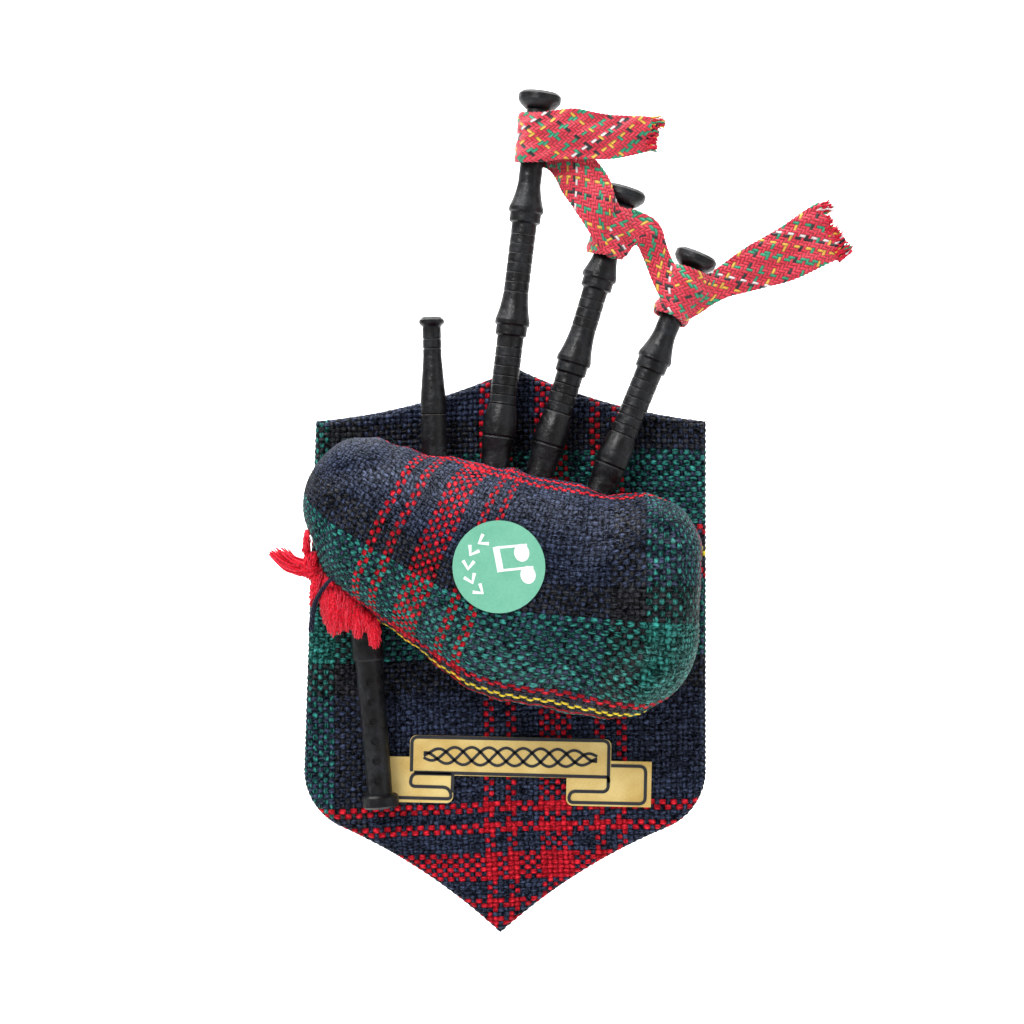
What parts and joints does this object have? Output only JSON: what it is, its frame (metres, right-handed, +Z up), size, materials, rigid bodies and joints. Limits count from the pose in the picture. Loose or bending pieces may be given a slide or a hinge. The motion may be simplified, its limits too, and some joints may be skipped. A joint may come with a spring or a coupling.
{
  "type": "bagpipes magnet",
  "caption": "Miniature bagpipes on a tartan shield plaque: stuffed bag with a press button, drones, blowpipe, chanter, braid, scroll label and magnet back.",
  "frame": {"origin": "middle of the magnet sheet's back face, which lies on the surface that holds the plaque", "axes": "+Z up along the drones, -Y out of the front towards the viewer, +Y into the holding surface, +X to the viewer's right"},
  "size_m": [0.0826, 0.0298, 0.1276],
  "materials": {
    "magnet_rubber": "ferrite-filled flexible magnet sheet, calendered, matt dark brown-black",
    "liner_card": "black fibre card liner, smooth, glued over the turned-in cloth",
    "shield_card": "pressed greyboard, cut to the shield's outline, hidden by the cloth",
    "tartan": "plain-woven acrylic tartan in navy, black, green, red and yellow, matt and fibrous",
    "gold_card": "die-cut card with satin gold foil and raised black line work",
    "pipe_plastic": "injection-moulded polystyrene, black, fine matt texture, greyed on the worn edges",
    "red_wool": "brushed red acrylic yarn, loose and fluffy",
    "label_paper": "coated paper label, printed in mint green and white",
    "button_plastic": "moulded white ABS, matt",
    "spring_steel": "drawn spring steel wire",
    "case_plastic": "moulded white ABS, matt",
    "card_glassfibre": "glass-fibre laminate with green solder mask",
    "dome_steel": "pressed stainless steel contact dome",
    "chip_epoxy": "drop of black epoxy",
    "sounder_brass": "brass disc with a bonded ceramic layer",
    "lead_copper": "plastic-covered stranded copper lead",
    "cell_steel": "nickel-plated steel button cells",
    "strip_steel": "pressed nickel-plated spring strip",
    "wadding": "polyester fibre wadding, white",
    "braid_yarn": "flat braid of shiny viscose yarns in red, green, black, yellow and white"
  },
  "bodies": {
    "plaque": {"magnet_sheet": "magnet_rubber", "back_liner": "liner_card", "shield_board": "shield_card", "shield_tartan": "tartan", "scroll_label": "gold_card", "bass_drone": "pipe_plastic", "middle_drone": "pipe_plastic", "outer_drone": "pipe_plastic", "blowpipe": "pipe_plastic", "chanter": "pipe_plastic", "wool_fringe": "red_wool", "return_spring": "spring_steel", "module_front_case": "case_plastic", "module_back_case": "case_plastic", "circuit_card": "card_glassfibre", "contact_dome": "dome_steel", "sound_chip": "chip_epoxy", "sounder_disc": "sounder_brass", "sounder_leads": "lead_copper", "button_cells": "cell_steel", "cell_strip_front": "strip_steel", "cell_strip_back": "strip_steel", "bag_cover": "tartan", "bag_wadding": "wadding", "drone_braid": "braid_yarn"},
    "button": {"press_button": "button_plastic", "press_label": "label_paper"}
  },
  "joints": [
    {"name": "button_press", "type": "slide", "parent": "plaque", "child": "button", "axis": [0, 1, 0], "range_m": [0, 0.0012], "stiffness_N_per_m": 1000, "springref_m": -0.0003, "deforming": ["return_spring", "bag_cover"]}
  ]
}
